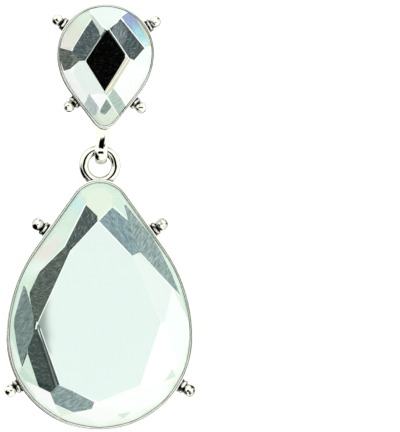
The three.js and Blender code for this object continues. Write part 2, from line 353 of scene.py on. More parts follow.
class Wiring:
    """A node tree whose nodes are each added in one call, with all that goes into them."""

    def __init__(self, tree: bpy.types.NodeTree) -> None:
        """Takes the tree that the nodes go into."""
        self.tree = tree

    def fill(self, node: bpy.types.Node, *feeds: object, **named: object) -> bpy.types.Node:
        """Sets a node's properties, and then its inputs.

        Args:
            node: The node.
            *feeds: What goes into its first inputs, each a socket or a plain value.
            **named: Its properties, in small letters, and its other inputs, each with a
                capital and with underscores for spaces.

        Returns:
            The same node.
        """
        inputs: list[tuple[int | str, object]] = list(enumerate(feeds))
        for key, value in named.items():
            if key.islower():
                setattr(node, key, value)
            else:
                inputs.append((key.replace("_", " "), value))
        for key, value in inputs:
            if isinstance(value, bpy.types.NodeSocket):
                self.tree.links.new(value, node.inputs[key])
            else:
                node.inputs[key].default_value = value
        return node

    def node(self, kind: str, *feeds: object, **named: object) -> bpy.types.Node:
        """Adds a node of a type and fills it, in the way that fill says."""
        return self.fill(self.tree.nodes.new(kind), *feeds, **named)

    def math(self, operation: str, *feeds: object) -> bpy.types.NodeSocket:
        """The result of a calculation with numbers or sockets."""
        return self.node("ShaderNodeMath", *feeds, operation=operation).outputs["Value"]

    def vector(self, operation: str, *feeds: object, **named: object) -> bpy.types.NodeSocket:
        """The vector that a calculation with vectors gives."""
        made = self.node("ShaderNodeVectorMath", *feeds, operation=operation, **named)
        return made.outputs["Vector"]

    def ramp(self, value: bpy.types.NodeSocket, span: Pair, goal: Pair = (0.0, 1.0),
             **settings: object) -> bpy.types.NodeSocket:
        """Carries a value from one range to another.

        Args:
            value: The value.
            span: The range that it comes from, past which it stops.
            goal: The range that it is carried to.
            **settings: Properties of the node.

        Returns:
            The socket with the carried value.
        """
        made = self.node("ShaderNodeMapRange", value, *span, *goal, **settings)
        return made.outputs["Result"]


def node_material(name: str) -> tuple[bpy.types.Material, Wiring, bpy.types.Node]:
    """Starts a node material.

    Args:
        name: The material's name.

    Returns:
        The material, the wiring of its nodes and its shader.
    """
    made = bpy.data.materials.new(name)
    made.use_nodes = True
    return made, Wiring(made.node_tree), made.node_tree.nodes["Principled BSDF"]


@dataclass(frozen=True)
class PolishedSilver:
    """The cups' bright plated metal, faintly rippled, with painted shade darkening its hollows.

    The metal takes the painted shade's colour where the share of open air round it is less
    than the first of the two shares that bound the shade, and is bright where it is more than
    the second. Patches move both shares up or down by up to patchy. The haze is the least and
    most roughness, as shares of roughness.
    """

    name: str = "polished_silver"
    colour: Triple = (0.81, 0.835, 0.77)
    # Colour of the painted shade laid into the hollows.
    hollow_shade: Triple = (0.02, 0.02, 0.012)
    hollow: float = 0.45 * MM
    hollow_samples: int = 8
    unshaded: Pair = (0.2, 0.45)
    patchy: float = 0.0
    patches_to_ripples: float = 1.7
    roughness: float = 0.2
    haze: Pair = (0.6, 1.8)
    ripple_scale: float = 900.0
    ripple_depth: float = 0.03 * MM
    ripple_detail: float = 2.0

    def material(self) -> bpy.types.Material:
        """Builds the node material.

        Returns:
            The material.
        """
        made, wiring, shader = node_material(self.name)
        place = wiring.node("ShaderNodeTexCoord").outputs["Object"]
        ripple = wiring.node("ShaderNodeTexNoise", Vector=place, Scale=self.ripple_scale,
                             Detail=self.ripple_detail).outputs["Fac"]
        haze = wiring.ramp(ripple, (0.0, 1.0), tuple(self.roughness * part for part in self.haze))
        bump = wiring.node("ShaderNodeBump", Height=ripple, Strength=1.0,
                           Distance=self.ripple_depth)
        patches = wiring.node("ShaderNodeTexNoise", Vector=place,
                              Scale=self.ripple_scale * self.patches_to_ripples)
        # Painted shade: the colour darkens where ambient occlusion finds little open air.
        open_air = wiring.node("ShaderNodeAmbientOcclusion", samples=self.hollow_samples,
                               Distance=self.hollow)
        patched = wiring.math("MULTIPLY_ADD", patches.outputs["Fac"], -2 * self.patchy,
                              open_air.outputs["AO"])
        unshaded = wiring.ramp(patched, tuple(share - self.patchy for share in self.unshaded))
        plate = wiring.node("ShaderNodeMix", data_type="RGBA", Factor=unshaded,
                            A=colour_of(*self.hollow_shade), B=colour_of(*self.colour))
        wiring.fill(shader, Metallic=1.0, Roughness=haze, Normal=bump.outputs["Normal"],
                    Base_Color=plate.outputs["Result"])
        return made


@dataclass(frozen=True)
class WorkedSilver(PolishedSilver):
    """The prongs' metal: uneven from the setter's tools, with painted shade in patches round each
    ball.
    """

    name: str = "worked_silver"
    colour: Triple = (0.78, 0.785, 0.705)
    hollow: float = 0.6 * MM
    unshaded: Pair = (0.72, 0.88)
    patchy: float = 0.9
    roughness: float = 0.05
    ripple_scale: float = 1100.0
    ripple_depth: float = 0.3 * MM
    ripple_detail: float = 0.0


@dataclass(frozen=True)
class WireSilver(PolishedSilver):
    """The hangers' metal: long smooth ripples, with painted shade in the corners where they join."""

    name: str = "wire_silver"
    colour: Triple = (0.78, 0.785, 0.705)
    unshaded: Pair = (0.38, 0.62)
    roughness: float = 0.05
    ripple_scale: float = 650.0
    ripple_depth: float = 0.07 * MM
    ripple_detail: float = 0.0


@dataclass(frozen=True)
class FoiledGlass:
    """Cut glass over brushed foil, its tones and brush marks carried by the facets; each tone is
    the glass's colour with a painted reflection of light or dark in it.

    Marks are so many to a millimetre, along the brush and across it. Streaks are the foil's
    broad dark and light marks, and scratches are thin bright ones that cross them.
    """

    name: str = "foiled_glass"
    # The attribute that holds each facet's colour with its painted reflection.
    tint: str = "tint"
    grain: str = "grain"
    brush: str = "brush"
    glaze: float = 0.02
    refraction: float = 1.38
    mark_roughness: float = 0.65
    streaks: Triple = (1.5, 5.5, 1.0)
    streak_detail: float = 4.0
    streak_span: Pair = (0.36, 0.66)
    streak_shades: Pair = (0.45, 1.6)
    scratches: Triple = (1.3, 7.5, 1.0)
    scratch_detail: float = 2.0
    scratch_turns: Pair = (34.0, -27.0)
    scratch_span: Pair = (0.57, 0.72)
    scratch_light: float = 0.22

    def _marks(self, wiring: Wiring, turn: float, many: Triple,
               detail: float) -> bpy.types.NodeSocket:
        """Stretched noise on the brush coordinates.

        Args:
            wiring: The wiring of the material's nodes.
            turn: How far the marks are turned, in degrees.
            many: How many marks there are in a millimetre along and across.
            detail: The noise's detail.

        Returns:
            The socket with the noise.
        """
        way = wiring.node("ShaderNodeUVMap", uv_map=self.brush)
        place = wiring.node("ShaderNodeMapping", Vector=way.outputs["UV"],
                            Rotation=(0.0, 0.0, math.radians(turn)))
        stretched = wiring.vector("MULTIPLY", place.outputs["Vector"], many)
        return wiring.node("ShaderNodeTexNoise", Vector=stretched, Scale=1.0, Detail=detail,
                           Roughness=self.mark_roughness).outputs["Fac"]

    def material(self) -> bpy.types.Material:
        """Builds the node material.

        Returns:
            The material.
        """
        made, wiring, shader = node_material(self.name)
        tint = wiring.node("ShaderNodeAttribute", attribute_name=self.tint).outputs["Color"]
        grain = wiring.node("ShaderNodeAttribute", attribute_name=self.grain).outputs["Fac"]
        streaks = self._marks(wiring, 0.0, self.streaks, self.streak_detail)
        shades = wiring.ramp(streaks, self.streak_span, self.streak_shades)
        brushed = wiring.vector("SCALE", tint, Scale=shades)
        glints = wiring.math("MAXIMUM", *(
            wiring.ramp(self._marks(wiring, turn, self.scratches, self.scratch_detail),
                        self.scratch_span)
            for turn in self.scratch_turns))
        lit = wiring.vector("ADD", brushed, wiring.math("MULTIPLY", glints, self.scratch_light))
        foil = wiring.node("ShaderNodeMix", data_type="RGBA", Factor=grain, A=tint, B=lit)
        wiring.fill(shader, Roughness=self.glaze, IOR=self.refraction,
                    Base_Color=foil.outputs["Result"])
        return made


@dataclass(frozen=True)
class PaleFloor:
    """Plain pale matt floor."""

    name: str = "pale_floor"
    colour: Triple = (0.9, 0.9, 0.9)
    roughness: float = 0.8

    def material(self) -> bpy.types.Material:
        """Builds the node material.

        Returns:
            The material.
        """
        made, wiring, shader = node_material(self.name)
        wiring.fill(shader, Base_Color=colour_of(*self.colour), Roughness=self.roughness)
        return made


@dataclass(frozen=True)
class Finishes:
    """The materials that the jewels share."""

    cup: bpy.types.Material
    prongs: bpy.types.Material
    hanger: bpy.types.Material
    glass: bpy.types.Material


class PieceTree(Wiring):
    """A geometry node tree with named inputs, run once and turned into a plain mesh."""

    def __init__(self, name: str, *numbers: str) -> None:
        """Starts a tree with a geometry input and output.

        Args:
            name: The tree's name.
            *numbers: The names of its number inputs.
        """
        super().__init__(bpy.data.node_groups.new(name, "GeometryNodeTree"))
        self.identifiers: dict[str, str] = {}
        for way in ("INPUT", "OUTPUT"):
            self.tree.interface.new_socket(
                "Geometry", in_out=way, socket_type="NodeSocketGeometry")
        self.source = self.node("NodeGroupInput")
        for number in numbers:
            self.take(number, "NodeSocketFloat")

    def take(self, name: str, socket: str) -> None:
        """Adds a named input of a socket type to the tree."""
        made = self.tree.interface.new_socket(name, in_out="INPUT", socket_type=socket)
        self.identifiers[name] = made.identifier

    def given(self, name: str) -> bpy.types.NodeSocket:
        """The socket that holds a named input."""
        return self.source.outputs[name]

    def named(self, attribute: str, kind: str = "FLOAT") -> bpy.types.NodeSocket:
        """The output of a node that reads a named attribute."""
        made = self.node("GeometryNodeInputNamedAttribute", data_type=kind, Name=attribute)
        return next(out for out in made.outputs if out.enabled and out.name == "Attribute")

    def circle(self, steps: int, radius: bpy.types.NodeSocket) -> bpy.types.NodeSocket:
        """The curve of a circle with so many steps."""
        made = self.node("GeometryNodeCurvePrimitiveCircle", Resolution=steps, Radius=radius)
        return made.outputs["Curve"]

    def end(self, geometry: bpy.types.NodeSocket) -> None:
        """Closes the tree: smooth shading, realized instances and the material.

        Args:
            geometry: The socket that holds the finished geometry.
        """
        self.take("Material", "NodeSocketMaterial")
        shade = self.node("GeometryNodeSetShadeSmooth", Geometry=geometry)
        real = self.node("GeometryNodeRealizeInstances", Geometry=shade.outputs["Geometry"])
        dress = self.node("GeometryNodeSetMaterial", Geometry=real.outputs["Geometry"],
                          Material=self.given("Material"))
        self.node("NodeGroupOutput", Geometry=dress.outputs["Geometry"])

    def run(self, name: str, carrier: bpy.types.Mesh, **values: object) -> bpy.types.Mesh:
        """Runs the tree on a carrier mesh.

        Args:
            name: The name of the mesh that it makes.
            carrier: The mesh that the tree starts from.
            **values: The named inputs.

        Returns:
            The plain mesh that came out.
        """
        holder = add_object(name + "_path", carrier)
        modifier = holder.modifiers.new(name, "NODES")
        modifier.node_group = self.tree
        for key, value in values.items():
            modifier[self.identifiers[key]] = value
        graph = bpy.context.evaluated_depsgraph_get()
        made = bpy.data.meshes.new_from_object(holder.evaluated_get(graph))
        made.name = name
        holder.modifiers.remove(modifier)
        bpy.data.objects.remove(holder)
        return made


@dataclass(frozen=True)
class Cup:
    """A cast cup: flat back, bevelled wall, rounded rim and a drawn-in seat for the stone."""

    plate: float
    height: float
    rim: float
    rim_round: float
    back_inset: float
    back_bevel: float
    heel_inset: float = 0.08 * MM
    heel_height: float = 0.03 * MM
    round_steps: int = 5
    crease: float = 38

    def pavilion_inset(self, sink: float, tilt: float) -> float:
        """How far the seat draws in between the girdle's foot and the plate."""
        return (self.height - sink - self.plate) / math.tan(math.radians(tilt))

    def build(self, outline: Teardrop, sink: float, tilt: float) -> bmesh.types.BMesh:
        """Builds the cup.

        Args:
            outline: The cup's outline.
            sink: How deep the girdle's foot lies below the rim.
            tilt: The seat's slope in degrees.

        Returns:
            The closed cup, lying on its back.
        """
        edge = self.height - self.rim_round
        profile = [(self.back_inset + self.heel_inset, 0.0), (self.back_inset, self.heel_height)]
        for i in range(1, self.round_steps + 1):
            turn = math.pi / 2 * i / self.round_steps
            profile.append((
                self.back_inset * (1 - math.sin(turn)),
                self.heel_height + self.back_bevel * (1 - math.cos(turn))))
        profile.append((0.0, (self.back_bevel + edge) / 2))
        middle = self.rim / 2
        for i in range(2 * self.round_steps + 1):
            turn = math.pi * i / (2 * self.round_steps)
            profile.append((
                middle - middle * math.cos(turn), edge + self.rim_round * math.sin(turn)))
        profile.append((self.rim, self.height - sink))
        profile.append((self.rim + self.pavilion_inset(sink, tilt), self.plate))
        return lofted([outline.ring(inset, height) for inset, height in profile])


class Seat(Enum):
    """Where a crown facet starts: along a table edge, at a table corner, or on the girdle."""

    EDGE = "edge"
    CORNER = "corner"
    GIRDLE = "girdle"


@dataclass(frozen=True)
class Facet:
    """One crown facet: where it starts, which edge or corner or direction, its tilt and tone."""

    seat: Seat
    place: float
    tilt: float
    tone: Tone
    azimuth: float = 0.0
    rise: float = 0.0


def edge_facets(tilt: float, *tones: Tone) -> tuple[Facet, ...]:
    """One facet of each tone along each table edge, in order."""
    return tuple(Facet(Seat.EDGE, place, tilt, tone) for place, tone in enumerate(tones))


def corner_facets(*rows: tuple[float, Tone, float, float]) -> tuple[Facet, ...]:
    """One facet at each table corner, in order.

    Args:
        *rows: The tilt, the tone, the direction and the rise in mm of each facet.

    Returns:
        The facets.
    """
    return tuple(
        Facet(Seat.CORNER, place, tilt, tone, azimuth, rise * MM)
        for place, (tilt, tone, azimuth, rise) in enumerate(rows))


def girdle_facets(tilt: float, *rows: tuple[float, Tone]) -> tuple[Facet, ...]:
    """Facets of one tilt that start on the girdle, each with its direction and tone."""
    return tuple(Facet(Seat.GIRDLE, azimuth, tilt, tone) for azimuth, tone in rows)


@dataclass(frozen=True)
class Patch:
    """A reflection inside the stone: its corners seen from the front, in mm, and its tone."""

    corners: tuple[Pair, ...]
    tone: Tone


@dataclass(frozen=True)
class Glow:
    """A soft streak of a tone: its two ends seen from the front and its reach, in mm."""

    start: Pair
    end: Pair
    reach: float
    tone: Tone

    def share(self, point: Vector) -> float:
        """How strongly the glow shows.

        Args:
            point: A point seen from the front, in mm.

        Returns:
            A share that falls from 1 on the streak's line towards 0.
        """
        start, along = Vector(self.start), Vector(self.end) - Vector(self.start)
        place = (point - start).dot(along) / along.length_squared
        nearest = start + along * min(max(place, 0.0), 1.0)
        return math.exp(-((point - nearest).length / self.reach) ** 2)


@dataclass(frozen=True)
class Wash:
    """Soft glows that flow into each other over a part of the crown."""

    corners: tuple[Pair, ...]
    base: Tone
    glows: tuple[Glow, ...]
    pitch: float = 0.35


def glint(start: Pair, end: Pair, width: float, tone: Tone) -> Patch:
    """A thin line along a facet's edge: a painted highlight where its tone is pale, a painted dark
    reflection where its tone is dark.

    Args:
        start: Its first point seen from the front, in mm.
        end: Its last point.
        width: Its width in mm.
        tone: Its tone.

    Returns:
        The line as a narrow patch.
    """
    along = (Vector(end) - Vector(start)).normalized() * width / 2
    side = Vector((-along.y, along.x))
    corners = (Vector(start) + side, Vector(end) + side, Vector(end) - side,
               Vector(start) - side)
    return Patch(tuple((corner.x, corner.y) for corner in corners), tone)


@dataclass(frozen=True)
class Crown:
    """A crown: its table's corners as shares of the outline, its facets and its reflections."""

    corners: tuple[Pair, ...]
    table: Tone
    wall: Tone
    facets: tuple[Facet, ...]
    patches: tuple[Patch, ...] = ()
    washes: tuple[Wash, ...] = ()


def middle_of(corners: Sequence[Vector]) -> Vector:
    """The middle of an outline's corners, seen from the front."""
    return sum(corners, Vector((0.0, 0.0))) / len(corners)


def sides_of(corners: Sequence[Vector]) -> list[tuple[Vector, Vector]]:
    """Finds the sides of a convex outline that is seen from the front.

    Args:
        corners: The outline's corners.

    Returns:
        A point and the outward direction of each side.
    """
    middle = middle_of(corners)
    sides = []
    for start, end in zip(corners, corners[1:] + corners[:1]):
        outward = Vector((end.y - start.y, start.x - end.x)).normalized()
        if outward.dot(start - middle) < 0:
            outward.negate()
        sides.append((start, outward))
    return sides


def grid_over(corners: Sequence[Vector], pitch: float) -> list[tuple[Vector, Vector]]:
    """Lays a square grid over an outline that is seen from the front.

    Args:
        corners: The outline's corners.
        pitch: Spacing of the grid's lines.

    Returns:
        A point on each line and the direction across it.
    """
    middle = middle_of(corners)
    count = math.ceil(max((corner - middle).length for corner in corners) / pitch)
    return [
        (middle + across * (step * pitch), across)
        for step in range(-count, count + 1)
        for across in (Vector((1.0, 0.0)), Vector((0.0, 1.0)))
    ]


class Painter:
    """Paints the faces of a stone that lies in its own plane, with tones that carry painted
    reflections and shade.

    A crown face's normal points forward by more than the share forward. Seen from the front
    and in mm, a face is inside a side where its middle is less than slack past it, and it
    reaches inside where one of its corners is less than near past it.
    """

    forward: float = 0.2
    slack: float = 1e-4
    near: float = 1e-5

    def __init__(self, stone: bmesh.types.BMesh, finish: FoiledGlass, place: Matrix,
                 base: float) -> None:
        """Adds the finish's layers.

        Args:
            stone: The stone's mesh.
            finish: The finish that reads the layers.
            place: How the stone stands in the frame.
            base: The height above which the crown starts.
        """
        self.stone = stone
        self.place = place
        self.base = base
        self.tint = stone.loops.layers.float_color.new(finish.tint)
        self.grain = stone.faces.layers.float.new(finish.grain)
        self.brush = stone.loops.layers.uv.new(finish.brush)

    def flat(self, faces: Iterable[bmesh.types.BMFace], tone: Tone) -> None:
        """Gives faces one tone and its brush marks.

        Args:
            faces: The faces.
            tone: The tone.
        """
        turn = Matrix.Rotation(-math.radians(tone.value.brush), 2)
        for face in faces:
            face[self.grain] = tone.value.grain
            for loop in face.loops:
                loop[self.tint] = colour_of(*tone.value.colour)
                seen = self.place @ loop.vert.co
                loop[self.brush].uv = turn @ (Vector((seen.x, seen.z)) / MM)

    def _inside(self, corners: Sequence[Pair],
                pitch: float = 0.0) -> list[bmesh.types.BMFace]:
        """Cuts the crown along a convex outline and finds the faces inside.

        Args:
            corners: The outline's corners seen from the front, in mm.
            pitch: Spacing of further cuts inside, in mm, or 0.

        Returns:
            The crown's faces inside the outline.
        """
        flat = [Vector(corner) for corner in corners]
        sides = sides_of(flat)
        cuts = sides + grid_over(flat, pitch) if pitch else sides
        turn_back = self.place.to_3x3().inverted()
        back = self.place.inverted()
        for start, outward in cuts:
            near = [face for face in self._crown() if self._touches(face, sides)]
            parts = {part for face in near for part in (face, *face.edges, *face.verts)}
            bmesh.ops.bisect_plane(
                self.stone, geom=list(parts), dist=ON_CUT,
                plane_co=back @ Vector((start.x * MM, 0.0, start.y * MM)),
                plane_no=turn_back @ Vector((outward.x, 0.0, outward.y)))
        return [face for face in self._crown()
                if all(outward.dot(self._seen(face.calc_center_median()) - start) < self.slack
                       for start, outward in sides)]

    def _crown(self) -> list[bmesh.types.BMFace]:
        """The faces that belong to the crown."""
        return [face for face in self.stone.faces
                if face.normal.z > self.forward and face.calc_center_median().z > self.base]

    def _seen(self, point: Vector) -> Vector:
        """A point seen from the front, in mm."""
        seen = self.place @ point
        return Vector((seen.x, seen.z)) / MM

    def _touches(self, face: bmesh.types.BMFace,
                 sides: Sequence[tuple[Vector, Vector]]) -> bool:
        """Finds out whether a face reaches into an outline.

        Args:
            face: The face.
            sides: A point and the outward direction of each side of the outline.

        Returns:
            Whether no side has the whole face outside.
        """
        points = [self._seen(vert.co) for vert in face.verts]
        return all(min(outward.dot(point - start) for point in points) < self.near
                   for start, outward in sides)

    def patch(self, patch: Patch) -> None:
        """Paints one reflection."""
        self.flat(self._inside(patch.corners), patch.tone)

    def wash(self, wash: Wash) -> None:
        """Paints tones that flow into each other.

        Args:
            wash: The wash.
        """
        faces = self._inside(wash.corners, wash.pitch)
        self.flat(faces, wash.base)
        for face in faces:
            for loop in face.loops:
                seen = self._seen(loop.vert.co)
                mixed = Vector(wash.base.value.colour)
                for glow in wash.glows:
                    mixed = mixed.lerp(Vector(glow.tone.value.colour), glow.share(seen))
                loop[self.tint] = colour_of(*mixed)


@dataclass(frozen=True)
class Stone:
    """A cut stone with a drawn-in pavilion, a girdle and a crown cut plane by plane."""

    girdle_sink: float
    girdle: float
    crown_height: float
    tilt: float
    gap: float
    crown: Crown
    finish: FoiledGlass = FoiledGlass()

    def _planes(self, outline: Teardrop, inset: float, girdle_top: float,
                table: float) -> list[tuple[Vector, Vector, Tone]]:
        """Every crown plane.

        Args:
            outline: The outline of the cup that holds the stone.
            inset: How far the stone is drawn in from it.
            girdle_top: Height of the girdle's upper edge.
            table: Height of the table.

        Returns:
            A point, the outward normal and the tone of each plane.
        """
        reach = outline.reach()
        corners = [
            Vector((x * outline.bulge, y * (reach if y > 0 else outline.bulge), table))
            for x, y in self.crown.corners
        ]
        planes = []
        for facet in self.crown.facets:
            azimuth = facet.azimuth
            if facet.seat is Seat.EDGE:
                point = corners[int(facet.place)].copy()
                step = corners[(int(facet.place) + 1) % len(corners)] - point
                azimuth = math.degrees(math.atan2(-step.x, step.y))
            elif facet.seat is Seat.CORNER:
                point = corners[int(facet.place)].copy()
            else:
                azimuth = facet.place
            away = heading(azimuth)
            if facet.seat is Seat.GIRDLE:
                point = away * outline.support(inset, azimuth)
                point.z = girdle_top
            point.z += facet.rise
            lean = math.radians(facet.tilt)
            planes.append((
                point, away * math.sin(lean) + Vector((0.0, 0.0, math.cos(lean))), facet.tone))
        return planes

    def build(self, outline: Teardrop, cup: Cup, place: Matrix) -> bmesh.types.BMesh:
        """Cuts and paints the stone.

        Args:
            outline: The outline of the cup that holds it.
            cup: The cup that it sits in.
            place: How the jewel stands in the frame.

        Returns:
            The stone with its tones in its layers.
        """
        inset = cup.rim + self.gap
        foot = cup.height - self.girdle_sink
        girdle_top = foot + self.girdle
        table = girdle_top + self.crown_height
        back = inset + cup.pavilion_inset(self.girdle_sink, self.tilt)
        made = lofted([
            outline.ring(back, cup.plate + self.gap),
            outline.ring(inset, foot + self.gap),
            outline.ring(inset, table),
        ])
        painter = Painter(made, self.finish, place, girdle_top - self.girdle / 2)
        painter.flat(made.faces, self.crown.wall)
        painter.flat([max(made.faces, key=lambda face: face.calc_center_median().z)],
                     self.crown.table)
        for point, normal, tone in self._planes(outline, inset, girdle_top, table):
            cut = bmesh.ops.bisect_plane(
                made, geom=[*made.verts, *made.edges, *made.faces], dist=ON_CUT,
                plane_co=point, plane_no=normal, clear_outer=True)
            edges = [part for part in cut["geom_cut"] if isinstance(part, bmesh.types.BMEdge)]
            if edges:
                painter.flat(bmesh.ops.edgeloop_fill(made, edges=edges)["faces"], tone)
        bmesh.ops.recalc_face_normals(made, faces=made.faces)
        for wash in self.crown.washes:
            painter.wash(wash)
        for patch in self.crown.patches:
            painter.patch(patch)
        return made


@dataclass(frozen=True)
class BallProngs:
    """Four turned prongs about a cup: a grooved collar, a neck and a ball each."""

    azimuths: tuple[float, ...]
    flank_share: float
    ball: float
    ball_reach: float
    base: float
    base_reach: float
    groove: float
    neck: float
    soft: float = 0.04 * MM
    groove_shape: tuple[Pair, ...] = ((0.0, 0.22), (0.8, 0.32), (1.0, 0.4), (0.8, 0.48))
    shoulder_shape: tuple[Pair, ...] = ((0.5, 0.56), (0.0, 0.66))
    lean: float = 14.0
    root: float = 0.25 * MM
    sides: int = 40
    ball_steps: int = 18
    crease: float = 42

    def profile(self) -> list[Pair]:
        """Draws the turned prong, from its root to the ball's top.

        The groove's shape and the shoulder's above it are shares of the groove's and the
        soft edge's depth, each with a share of the collar's reach.

        Returns:
            The radius and height of each point.
        """
        base, reach, soft = self.base, self.base_reach, self.soft
        points = [(0.0, -self.root), (base, -self.root)]
        for depth, shape in ((self.groove, self.groove_shape), (soft, self.shoulder_shape)):
            points += [(base - depth * deep, reach * high) for deep, high in shape]
        points += [(base, reach - soft), (base - soft, reach)]
        start = math.asin(self.neck / self.ball)
        for i in range(self.ball_steps + 1):
            turn = start + (math.pi - start) * i / self.ball_steps
            points.append((
                self.ball * math.sin(turn) if i < self.ball_steps else 0.0,
                self.ball_reach - self.ball * math.cos(turn)))
        return points

    def tree(self) -> PieceTree:
        """Wires nodes that stand one prong on each point, along its outward attribute.

        Returns:
            The finished tree.
        """
        tree = PieceTree("prongs_on_points", "Scale")
        tree.take("Prong", "NodeSocketObject")
        prong = tree.node("GeometryNodeObjectInfo", Object=tree.given("Prong"))
        points = tree.node("GeometryNodeMeshToPoints", Mesh=tree.given("Geometry"))
        turn = tree.node("FunctionNodeAlignRotationToVector", axis="Y",
                         Vector=tree.named("outward", "FLOAT_VECTOR"))
        stand = tree.node(
            "GeometryNodeInstanceOnPoints", Points=points.outputs["Points"],
            Instance=prong.outputs["Geometry"], Rotation=turn.outputs["Rotation"],
            Scale=tree.given("Scale"))
        tree.end(stand.outputs["Instances"])
        return tree

    def build(self, name: str, outline: Teardrop, cup: Cup,
              metal: bpy.types.Material) -> bpy.types.Mesh:
        """Builds all prongs of a cup.

        Args:
            name: The mesh's name.
            outline: The cup's outline.
            cup: The cup.
            metal: The prongs' material.

        Returns:
            One mesh with every prong, lying with the cup.
        """
        mesh = mesh_of(name + "_turned", turned(self.profile(), self.sides))
        model = add_object(mesh.name, mesh)
        height = cup.height - cup.rim_round - self.base
        carrier = bpy.data.meshes.new(name + "_feet")
        feet = [outline.foot(azimuth, self.flank_share) for azimuth in self.azimuths]
        carrier.from_pydata([(foot.x, foot.y, height) for foot in feet], [], [])
        outward = carrier.attributes.new("outward", "FLOAT_VECTOR", "POINT")
        rise = math.sin(math.radians(self.lean))
        run = math.cos(math.radians(self.lean))
        for item, azimuth in zip(outward.data, self.azimuths):
            angle = math.radians(azimuth)
            item.vector = (run * math.cos(angle), run * math.sin(angle), rise)
        made = self.tree().run(name, carrier, Prong=model, Scale=1.0, Material=metal)
        bpy.data.objects.remove(model)
        smooth(made, self.crease)
        return made


@dataclass(frozen=True)
class HangRing:
    """The round wire ring cast on the drop's tip."""

    wire: float
    hole: float
    sunk: float
    behind_rim: float
    steps: int = 96
    sides: int = 28

    def radius(self) -> float:
        """Radius of the wire's middle line."""
        return (self.hole + self.wire) / 2

    def height(self, outline: Teardrop) -> float:
        """The ring's middle above the bulge's centre."""
        return outline.reach() - self.sunk + self.radius()

    def tree(self) -> PieceTree:
        """Wires nodes that sweep a round wire along the ring's circle.

        Returns:
            The finished tree.
        """
        tree = PieceTree("ring_on_circle", "Radius", "Wire", "Height", "Forward")
        sweep = tree.node(
            "GeometryNodeCurveToMesh", Curve=tree.circle(self.steps, tree.given("Radius")),
            Profile_Curve=tree.circle(self.sides, tree.given("Wire")))
        place = tree.node("ShaderNodeCombineXYZ", Y=tree.given("Height"), Z=tree.given("Forward"))
        move = tree.node("GeometryNodeTransform", Geometry=sweep.outputs["Mesh"],
                         Translation=place.outputs["Vector"])
        tree.end(move.outputs["Geometry"])
        return tree

    def build(self, name: str, outline: Teardrop, cup: Cup,
              metal: bpy.types.Material) -> bpy.types.Mesh:
        """Builds the ring in the drop's own plane.

        Args:
            name: The mesh's name.
            outline: The drop's outline.
            cup: The drop's cup.
            metal: The ring's material.

        Returns:
            The ring's mesh.
        """
        return self.tree().run(
            name, bpy.data.meshes.new(name + "_start"), Radius=self.radius(), Wire=self.wire / 2,
            Height=self.height(outline), Forward=cup.height - self.behind_rim, Material=metal)


@dataclass(frozen=True)
class HangLoop:
    """The strap loop cast under the stud: down in front, round under the ring and up behind."""

    top_width: float
    foot_width: float
    leg_thickness: float
    foot_thickness: float
    in_tip: float
    drop: float
    slot: float
    slant: float
    lean: float = 0.5 * MM
    bend_steps: int = 28
    leg_steps: int = 10
    sides: int = 32
    crease: float = 50

    def stations(self, outline: Teardrop,
                 middle: float) -> list[tuple[Vector, float, float, float]]:
        """Points along the loop, with half its width and thickness and how far it is aside.

        Args:
            outline: The stud's outline.
            middle: The loop's place between the cup's faces.

        Returns:
            Each point with its two half sizes and its shift to the side.
        """
        top = outline.reach() - self.in_tip
        bend = outline.reach() + self.drop - self.slot
        turns = [(math.pi * i / self.bend_steps, bend, 1.0) for i in range(self.bend_steps + 1)]
        legs = [(i / self.leg_steps) for i in range(self.leg_steps)]
        front = [(0.0, top + (bend - top) * share, share) for share in legs]
        behind = [(math.pi, y, share) for _, y, share in reversed(front)]
        made = []
        for angle, along, share in [*front, *turns, *behind]:
            thickness = self.leg_thickness + (
                self.foot_thickness - self.leg_thickness) * math.sin(angle)
            width = self.top_width + (self.foot_width - self.top_width) * share
            out = self.slot + thickness / 2 - self.lean * (1 - share) ** 2
            point = Vector((0.0, along + out * math.sin(angle), middle + out * math.cos(angle)))
            made.append((point, width / 2, thickness / 2, self.slant * share))
        return made

    def tree(self) -> PieceTree:
        """Wires nodes that sweep an oval of changing size along the loop's path.

        Returns:
            The finished tree.
        """
        tree = PieceTree("strap_on_path", "Fullness")
        thickness = tree.named("half_thickness")
        path = tree.node("GeometryNodeMeshToCurve", Mesh=tree.given("Geometry"))
        sweep = tree.node(
            "GeometryNodeCurveToMesh", Curve=path.outputs["Curve"], Scale=thickness,
            Profile_Curve=tree.circle(self.sides, tree.given("Fullness")), Fill_Caps=True)
        where = tree.node("GeometryNodeInputPosition").outputs["Position"]
        axes = tree.node("ShaderNodeSeparateXYZ", where).outputs
        flatness = tree.math("DIVIDE", tree.named("half_width"), thickness)
        wide = tree.math("MULTIPLY", axes["X"], flatness)
        aside = tree.math("ADD", wide, tree.named("aside"))
        again = tree.node("ShaderNodeCombineXYZ", aside, axes["Y"], axes["Z"])
        spread = tree.node("GeometryNodeSetPosition", Geometry=sweep.outputs["Mesh"],
                           Position=again.outputs["Vector"])
        tree.end(spread.outputs["Geometry"])
        return tree

    def build(self, name: str, outline: Teardrop, cup: Cup,
              metal: bpy.types.Material) -> bpy.types.Mesh:
        """Builds the loop in the stud's own plane.

        Args:
            name: The mesh's name.
            outline: The stud's outline.
            cup: The stud's cup.
            metal: The loop's material.

        Returns:
            The loop's mesh.
        """
        stations = self.stations(outline, cup.height / 2)
        carrier = bpy.data.meshes.new(name + "_start")
        carrier.from_pydata(
            [tuple(station[0]) for station in stations],
            [(i, i + 1) for i in range(len(stations) - 1)], [])
        for column, attribute in enumerate(("half_width", "half_thickness", "aside"), 1):
            layer = carrier.attributes.new(attribute, "FLOAT", "POINT")
            layer.data.foreach_set("value", [station[column] for station in stations])
        made = self.tree().run(name, carrier, Fullness=1.0, Material=metal)
        smooth(made, self.crease)
        return made


